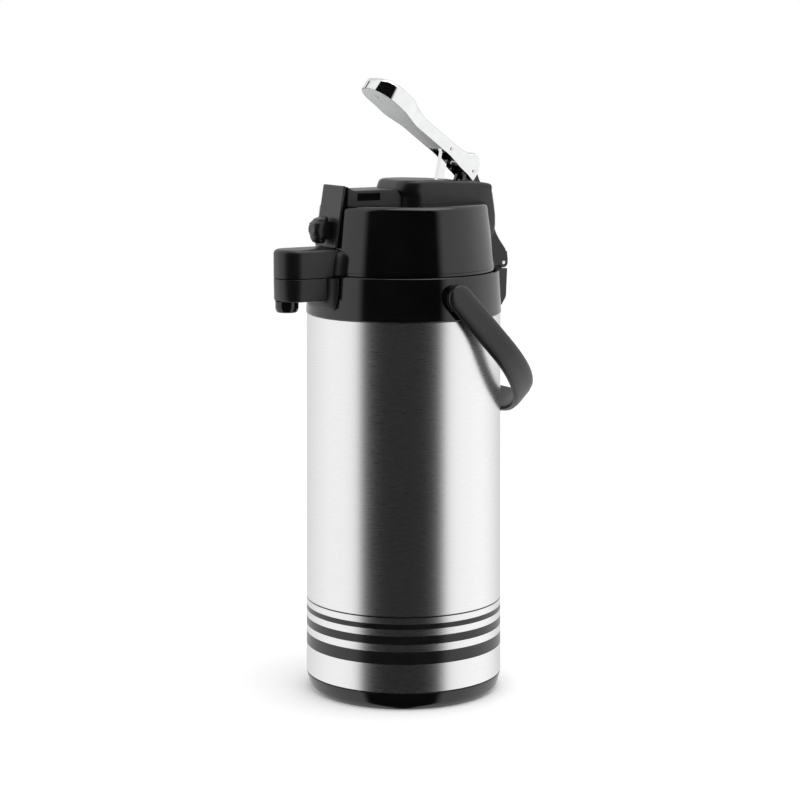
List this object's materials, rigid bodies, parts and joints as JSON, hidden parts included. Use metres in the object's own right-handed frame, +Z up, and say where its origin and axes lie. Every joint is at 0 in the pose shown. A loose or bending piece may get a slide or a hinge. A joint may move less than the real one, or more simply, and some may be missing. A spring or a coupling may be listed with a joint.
{
  "type": "thermal coffee airpot",
  "caption": "Tall vacuum-flask coffee airpot with a steel casing, black collar and hinged pump lid, forward spout, raised chrome pump lever and swinging carrying bail.",
  "frame": {"origin": "centre of the flat resting face under the base cup, on the pot's axis", "axes": "+Z up along the pot's axis, -Y towards the spout, X along the handle's pivot axis"},
  "size_m": [0.179, 0.2244, 0.5166],
  "materials": {
    "brushed_steel": "vertical-lit brushed stainless with painted black bands near the foot",
    "black_plastic": "moulded black plastic, semi gloss",
    "handle_plastic": "moulded black plastic, satin",
    "button_plastic": "ribbed black plastic",
    "lever_chrome": "bright chrome plate",
    "cover_grey": "satin grey underside plate",
    "pin_steel": "plain steel",
    "steel_tube": "drawn stainless tube",
    "flask_steel": "drawn stainless flask wall",
    "white_plastic": "food-safe white plastic",
    "silicone": "translucent grey silicone",
    "rubber": "dark rubber"
  },
  "bodies": {
    "pot": {"base_cup": "black_plastic", "steel_casing": "brushed_steel", "flask_cushion": "rubber", "flask_outer_wall": "flask_steel", "flask_inner_wall": "flask_steel", "neck_seal": "silicone", "collar": "black_plastic", "mouth_funnel": "white_plastic", "lid_catch": "pin_steel", "tube_holder": "white_plastic", "dip_tube": "steel_tube", "tube_gasket": "silicone", "handle_pivot_pins": "pin_steel", "hinge_pin": "pin_steel"},
    "handle": {"carry_handle": "handle_plastic"},
    "lid": {"lid_shell": "black_plastic", "lid_base": "black_plastic", "lid_gasket": "silicone", "lid_screws": "pin_steel", "top_cover": "black_plastic", "front_cover": "black_plastic", "spout_upper": "black_plastic", "spout_lower": "black_plastic", "nozzle": "black_plastic", "delivery_pipe": "white_plastic", "valve_cage": "white_plastic", "bellows": "rubber", "return_spring": "pin_steel", "intake_valve": "silicone", "lever_bracket": "black_plastic", "bracket_screws": "pin_steel", "lever_pivot_pin": "pin_steel"},
    "ball": {"valve_ball": "pin_steel"},
    "lock": {"lock_button": "button_plastic", "lock_bolt": "pin_steel"},
    "lever": {"lever_shell": "lever_chrome", "lever_cover": "cover_grey", "cover_screws": "pin_steel", "link_pin": "pin_steel"},
    "link": {"pump_link": "lever_chrome"},
    "plunger": {"plunger": "white_plastic", "plunger_pin": "pin_steel"}
  },
  "joints": [
    {"name": "handle_swing", "type": "hinge", "parent": "pot", "child": "handle", "pos_m": [0, 0, 0.338], "axis": [-1, 0, 0], "range_deg": [-82, 0]},
    {"name": "lid_open", "type": "hinge", "parent": "pot", "child": "lid", "pos_m": [0, 0.087, 0.358], "axis": [-1, 0, 0], "range_deg": [0, 78]},
    {"name": "lever_press", "type": "hinge", "parent": "lid", "child": "lever", "pos_m": [0, 0.062, 0.435], "axis": [1, 0, 0], "range_deg": [0, 36], "stiffness_Nm_per_rad": 0.6, "springref_deg": -20.05},
    {"name": "pump_slide", "type": "slide", "parent": "lid", "child": "plunger", "axis": [0, 0, -1], "range_m": [0, 0.01757], "deforming": ["bellows", "return_spring"]},
    {"name": "link_swing", "type": "hinge", "parent": "lever", "child": "link", "pos_m": [0, 0.04001, 0.45407], "axis": [1, 0, 0], "range_deg": [-28, 0]},
    {"name": "lock_push", "type": "slide", "parent": "lid", "child": "lock", "axis": [0, 1, 0], "range_m": [0, 0.003]},
    {"name": "valve_lift", "type": "slide", "parent": "lid", "child": "ball", "axis": [0, 0, 1], "range_m": [0, 0.003]}
  ],
  "couplings": [
    {"joint": "pump_slide", "follows": "lever_press", "m_per_rad": 0.027638},
    {"joint": "link_swing", "follows": "lever_press", "ratio": -0.719}
  ]
}
